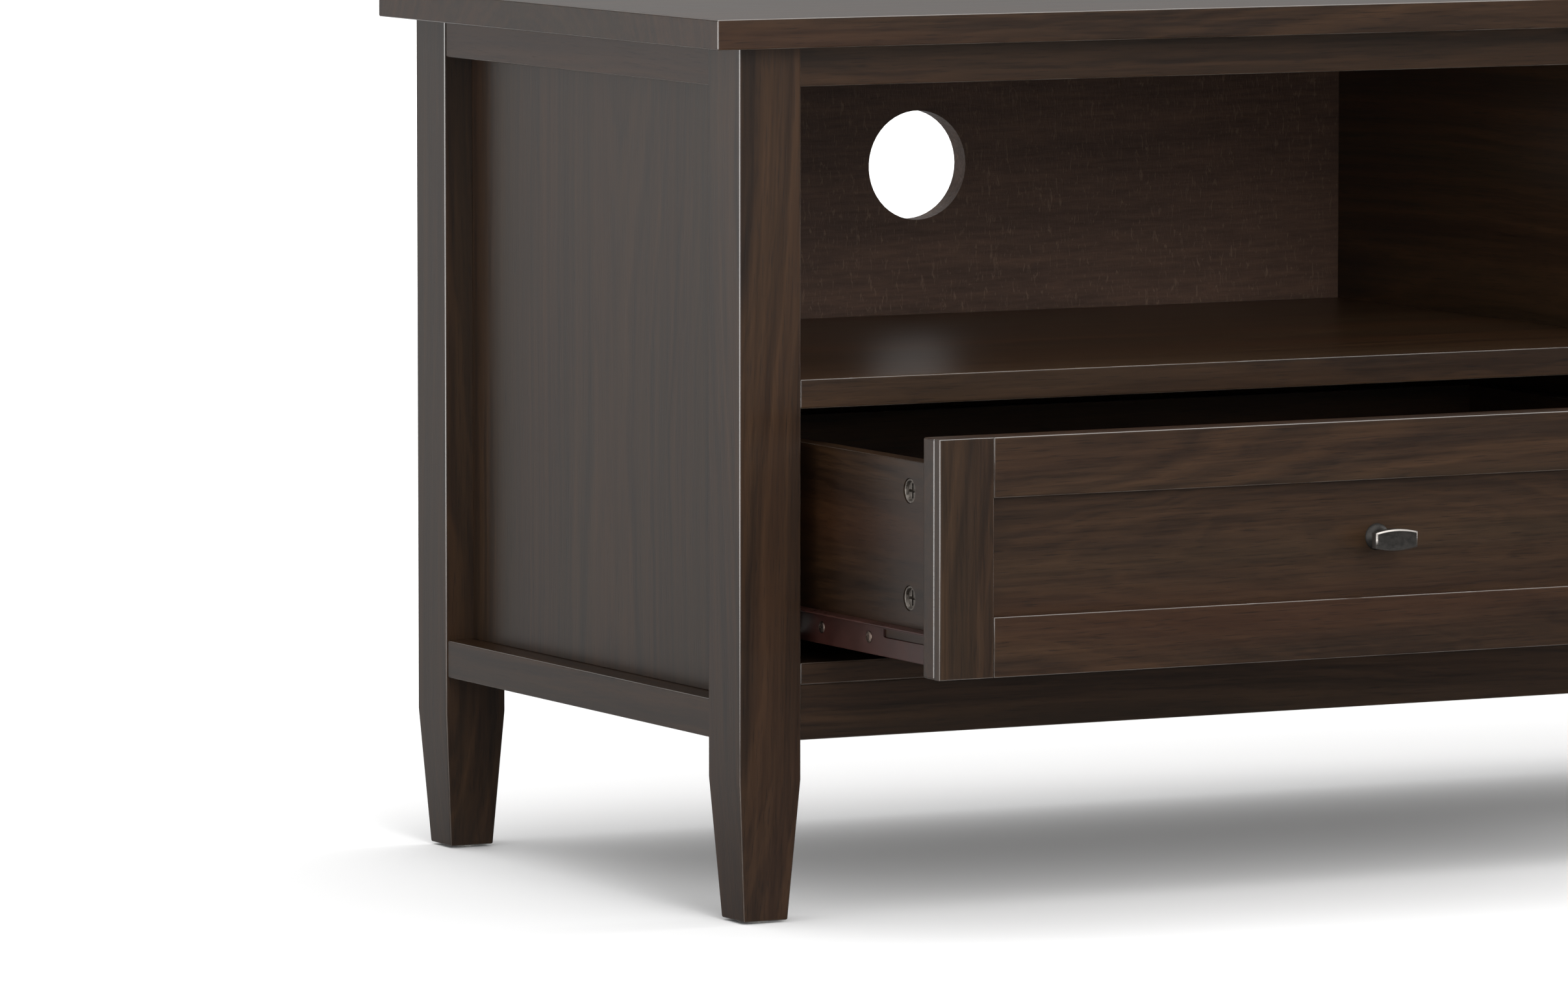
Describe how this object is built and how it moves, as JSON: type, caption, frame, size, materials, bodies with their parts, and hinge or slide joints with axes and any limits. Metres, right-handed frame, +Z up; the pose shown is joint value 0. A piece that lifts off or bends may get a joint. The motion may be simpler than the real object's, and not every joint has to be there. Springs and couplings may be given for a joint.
{
  "type": "media cabinet",
  "caption": "Low wooden media cabinet on tapered legs: open bays with cable holes above framed drawers on roller runners, small metal knobs, one drawer standing part open.",
  "frame": {"origin": "on the floor, midway between the four posts", "axes": "+X to the right as seen from the front, -Y out of the front with the drawers opening that way, +Z up"},
  "size_m": [1.372, 0.6342, 0.54],
  "materials": {
    "stained_wood": "dark walnut stain under a satin lacquer",
    "back_board": "stained board, rougher grain",
    "dowel_wood": "raw beech",
    "runner_steel": "red-brown epoxy coat on steel",
    "roller_nylon": "white nylon",
    "screw_steel": "zinc-plated",
    "cam_zinc": "die-cast zinc",
    "knob_metal": "dark pewter, worn bright along the edges",
    "glide_plastic": "plain"
  },
  "bodies": {
    "cabinet": {"top_panel": "stained_wood", "front_left_post": "stained_wood", "front_right_post": "stained_wood", "rear_left_post": "stained_wood", "rear_right_post": "stained_wood", "left_top_rail": "stained_wood", "left_bottom_rail": "stained_wood", "left_side_panel": "stained_wood", "right_top_rail": "stained_wood", "right_bottom_rail": "stained_wood", "right_side_panel": "stained_wood", "top_apron": "stained_wood", "bottom_apron": "stained_wood", "rear_rail": "stained_wood", "centre_stile": "stained_wood", "centre_divider": "stained_wood", "runner_battens": "back_board", "left_shelf": "stained_wood", "right_shelf": "stained_wood", "bottom_board": "stained_wood", "left_back_panel": "back_board", "right_back_panel": "back_board", "carcass_dowels": "dowel_wood", "carcass_screws": "screw_steel", "floor_glides": "glide_plastic", "left_bay_runners": "runner_steel", "right_bay_runners": "runner_steel"},
    "left_drawer": {"left_drawer_panel": "stained_wood", "left_drawer_stile_a": "stained_wood", "left_drawer_stile_b": "stained_wood", "left_drawer_top_rail": "stained_wood", "left_drawer_bottom_rail": "stained_wood", "left_drawer_side_a": "stained_wood", "left_drawer_side_b": "stained_wood", "left_drawer_back": "stained_wood", "left_drawer_bottom": "back_board", "left_drawer_runner_a": "runner_steel", "left_drawer_runner_b": "runner_steel", "left_drawer_cams": "cam_zinc", "left_drawer_screws": "screw_steel", "left_drawer_knob": "knob_metal"},
    "left_bay_rollers": {"left_bay_rollers": "roller_nylon"},
    "left_drawer_rollers": {"left_drawer_rollers": "roller_nylon"},
    "right_drawer": {"right_drawer_panel": "stained_wood", "right_drawer_stile_a": "stained_wood", "right_drawer_stile_b": "stained_wood", "right_drawer_top_rail": "stained_wood", "right_drawer_bottom_rail": "stained_wood", "right_drawer_side_a": "stained_wood", "right_drawer_side_b": "stained_wood", "right_drawer_back": "stained_wood", "right_drawer_bottom": "back_board", "right_drawer_runner_a": "runner_steel", "right_drawer_runner_b": "runner_steel", "right_drawer_cams": "cam_zinc", "right_drawer_screws": "screw_steel", "right_drawer_knob": "knob_metal"},
    "right_bay_rollers": {"right_bay_rollers": "roller_nylon"},
    "right_drawer_rollers": {"right_drawer_rollers": "roller_nylon"}
  },
  "joints": [
    {"name": "left_drawer_slide", "type": "slide", "parent": "cabinet", "child": "left_drawer", "axis": [0, -1, 0], "range_m": [-0.17, 0.09]},
    {"name": "left_bay_roller_spin", "type": "hinge", "parent": "cabinet", "child": "left_bay_rollers", "pos_m": [-0.32075, -0.1892, 0.1776], "axis": [1, 0, 0], "range_deg": [-1220, 647]},
    {"name": "left_drawer_roller_spin", "type": "hinge", "parent": "left_drawer", "child": "left_drawer_rollers", "pos_m": [-0.32075, -0.0312, 0.1754], "axis": [1, 0, 0], "range_deg": [-1220, 647]},
    {"name": "right_drawer_slide", "type": "slide", "parent": "cabinet", "child": "right_drawer", "axis": [0, -1, 0], "range_m": [0, 0.26]},
    {"name": "right_bay_roller_spin", "type": "hinge", "parent": "cabinet", "child": "right_bay_rollers", "pos_m": [0.32075, -0.1892, 0.1776], "axis": [1, 0, 0], "range_deg": [-2, 1864]},
    {"name": "right_drawer_roller_spin", "type": "hinge", "parent": "right_drawer", "child": "right_drawer_rollers", "pos_m": [0.32075, 0.1388, 0.1754], "axis": [1, 0, 0], "range_deg": [-2, 1864]}
  ],
  "couplings": [
    {"joint": "left_bay_roller_spin", "follows": "left_drawer_slide", "rad_per_m": 125},
    {"joint": "left_drawer_roller_spin", "follows": "left_drawer_slide", "rad_per_m": 125},
    {"joint": "right_bay_roller_spin", "follows": "right_drawer_slide", "rad_per_m": 125},
    {"joint": "right_drawer_roller_spin", "follows": "right_drawer_slide", "rad_per_m": 125}
  ]
}
